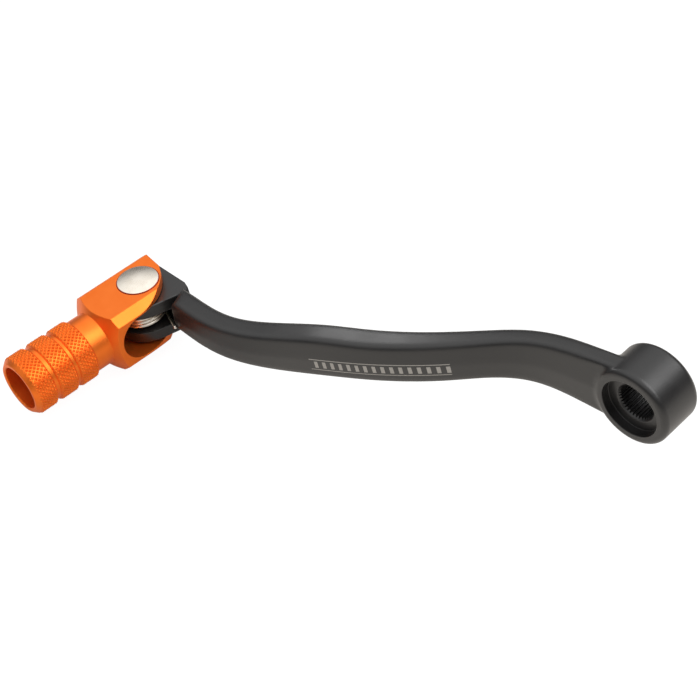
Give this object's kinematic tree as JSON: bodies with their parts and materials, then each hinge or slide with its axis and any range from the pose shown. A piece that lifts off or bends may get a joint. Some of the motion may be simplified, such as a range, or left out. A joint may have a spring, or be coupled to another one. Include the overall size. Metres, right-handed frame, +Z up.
{
  "type": "motorcycle gear shift lever",
  "caption": "Forged shift lever with a splined boss, a curved arm and a sprung, folding toe piece with knurled bands.",
  "frame": {"origin": "centre of the boss on the shift shaft's axis", "axes": "+X forward to the toe piece, +Y outward along the shift shaft, +Z up and parallel to the toe pivot"},
  "size_m": [0.188, 0.1005, 0.0411],
  "materials": {
    "black_anodised": "satin black anodised, fine blasted grain",
    "orange_anodised": "satin orange anodised",
    "rivet_steel": "tumbled stainless",
    "bright_steel": "turned stainless",
    "spring_wire": "drawn stainless wire"
  },
  "bodies": {
    "arm": {"lever_arm": "black_anodised", "return_spring": "spring_wire"},
    "toe": {"toe_piece": "orange_anodised", "pivot_rivet": "rivet_steel", "pivot_sleeve": "bright_steel", "rivet_washer": "bright_steel", "upper_thrust_washer": "bright_steel", "lower_thrust_washer": "bright_steel"}
  },
  "joints": [
    {"name": "toe_fold", "type": "hinge", "parent": "arm", "child": "toe", "pos_m": [0.162, 0.044, -0.016], "axis": [0, 0, 1], "range_deg": [0, 46], "stiffness_Nm_per_rad": 0.3, "deforming": ["return_spring"]}
  ]
}
